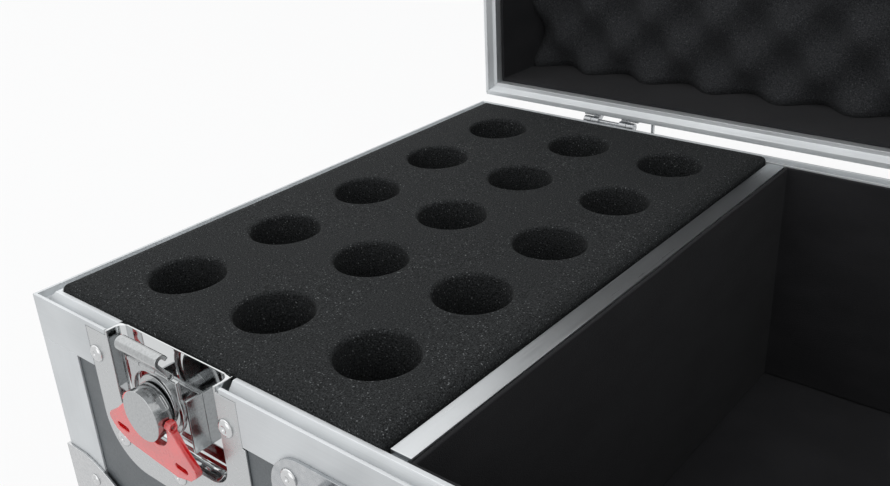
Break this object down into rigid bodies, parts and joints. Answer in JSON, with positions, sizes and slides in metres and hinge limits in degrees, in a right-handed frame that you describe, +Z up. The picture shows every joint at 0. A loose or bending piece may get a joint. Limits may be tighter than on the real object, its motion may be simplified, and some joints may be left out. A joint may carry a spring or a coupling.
{
  "type": "microphone case",
  "caption": "Hard case with an aluminium-edged hinged lid, recessed twist latches, a swinging bail handle, a foam block bored for microphones and a lined store.",
  "frame": {"origin": "on the floor under the middle of the bounding box, with the lid open at its stop", "axes": "+Z up, -Y towards the front with the latches, +X to the right seen from the front"},
  "size_m": [0.486, 0.4446, 0.5115],
  "materials": {
    "aluminium_trim": "satin anodised extrusion",
    "grey_laminate": "plywood faced with fine-textured grey laminate",
    "corner_steel": "zinc plated pressed steel",
    "rivet_steel": "plated rivet heads",
    "dish_steel": "bright plated pressed steel",
    "latch_steel": "plated steel",
    "wing_red": "moulded red nylon",
    "hinge_steel": "plated steel",
    "handle_steel": "plated steel",
    "grip_rubber": "soft black sleeve",
    "foot_rubber": "black rubber",
    "divider_board": "plywood with black faces",
    "drop_foam": "charcoal open-cell foam",
    "lid_foam": "black egg-crate foam",
    "black_lining": "thin black foam lining"
  },
  "bodies": {
    "case_base": {"base_ball_corners": "corner_steel", "base_corner_angles": "aluminium_trim", "base_floor_angles": "aluminium_trim", "base_floor_panel": "grey_laminate", "base_front_panel": "grey_laminate", "base_front_rail": "aluminium_trim", "base_left_panel": "grey_laminate", "base_left_rail": "aluminium_trim", "base_rear_panel": "grey_laminate", "base_rear_rail": "aluminium_trim", "base_right_panel": "grey_laminate", "base_right_rail": "aluminium_trim", "base_rivets": "rivet_steel", "divider_cap": "aluminium_trim", "divider_panel": "divider_board", "drop_foam": "drop_foam", "drop_foam_pad": "drop_foam", "handle_plate": "handle_steel", "hinge_base_leaves": "hinge_steel", "hinge_pins": "hinge_steel", "latch_dishes": "dish_steel", "latch_guides": "latch_steel", "rubber_feet": "foot_rubber", "storage_floor_pad": "black_lining", "storage_wall_lining": "black_lining"},
    "lid": {"hinge_lid_leaves": "hinge_steel", "keeper_dishes": "dish_steel", "keeper_hooks": "latch_steel", "lid_ball_corners": "corner_steel", "lid_corner_angles": "aluminium_trim", "lid_foam": "lid_foam", "lid_front_panel": "grey_laminate", "lid_front_rail": "aluminium_trim", "lid_left_panel": "grey_laminate", "lid_left_rail": "aluminium_trim", "lid_rear_panel": "grey_laminate", "lid_rear_rail": "aluminium_trim", "lid_right_panel": "grey_laminate", "lid_right_rail": "aluminium_trim", "lid_rivets": "rivet_steel", "lid_top_angles": "aluminium_trim", "lid_top_panel": "grey_laminate", "lid_wall_lining": "black_lining"},
    "handle": {"handle_bail": "handle_steel", "handle_grip": "grip_rubber"},
    "left_spindle": {"left_latch_spindle": "latch_steel"},
    "left_yoke": {"left_latch_yoke": "latch_steel"},
    "left_hook": {"left_latch_hook": "latch_steel"},
    "left_wing": {"left_latch_wing": "wing_red"},
    "right_spindle": {"right_latch_spindle": "latch_steel"},
    "right_yoke": {"right_latch_yoke": "latch_steel"},
    "right_hook": {"right_latch_hook": "latch_steel"},
    "right_wing": {"right_latch_wing": "wing_red"}
  },
  "joints": [
    {"name": "lid_hinge", "type": "hinge", "parent": "case_base", "child": "lid", "pos_m": [0, 0.1337, 0.1595], "axis": [1, 0, 0], "range_deg": [0, 90]},
    {"name": "handle_swing", "type": "hinge", "parent": "case_base", "child": "handle", "pos_m": [0, -0.2173, 0.136], "axis": [-1, 0, 0], "range_deg": [0, 90]},
    {"name": "left_latch_turn", "type": "hinge", "parent": "case_base", "child": "left_spindle", "pos_m": [-0.141, -0.2103, 0.1381], "axis": [0, 1, 0], "range_deg": [0, 180]},
    {"name": "left_yoke_slide", "type": "slide", "parent": "case_base", "child": "left_yoke", "axis": [0, 0, -1], "range_m": [0, 0.006]},
    {"name": "left_hook_tilt", "type": "hinge", "parent": "left_yoke", "child": "left_hook", "pos_m": [-0.141, -0.2137, 0.1574], "axis": [-1, 0, 0], "range_deg": [0, 53]},
    {"name": "left_wing_fold", "type": "hinge", "parent": "left_spindle", "child": "left_wing", "pos_m": [-0.141, -0.2179, 0.1381], "axis": [-0.9945, 0, 0.1045], "range_deg": [0, 90]},
    {"name": "right_latch_turn", "type": "hinge", "parent": "case_base", "child": "right_spindle", "pos_m": [0.141, -0.2103, 0.1381], "axis": [0, 1, 0], "range_deg": [0, 180]},
    {"name": "right_yoke_slide", "type": "slide", "parent": "case_base", "child": "right_yoke", "axis": [0, 0, -1], "range_m": [0, 0.006]},
    {"name": "right_hook_tilt", "type": "hinge", "parent": "right_yoke", "child": "right_hook", "pos_m": [0.141, -0.2137, 0.1574], "axis": [-1, 0, 0], "range_deg": [0, 53]},
    {"name": "right_wing_fold", "type": "hinge", "parent": "right_spindle", "child": "right_wing", "pos_m": [0.141, -0.2179, 0.1381], "axis": [-0.9945, 0, 0.1045], "range_deg": [0, 90]}
  ],
  "couplings": [
    {"joint": "left_yoke_slide", "follows": "left_latch_turn", "m_per_rad": 0.0019098},
    {"joint": "left_hook_tilt", "follows": "left_latch_turn", "ratio": 0.2944},
    {"joint": "right_yoke_slide", "follows": "right_latch_turn", "m_per_rad": 0.0019098},
    {"joint": "right_hook_tilt", "follows": "right_latch_turn", "ratio": 0.2944}
  ]
}
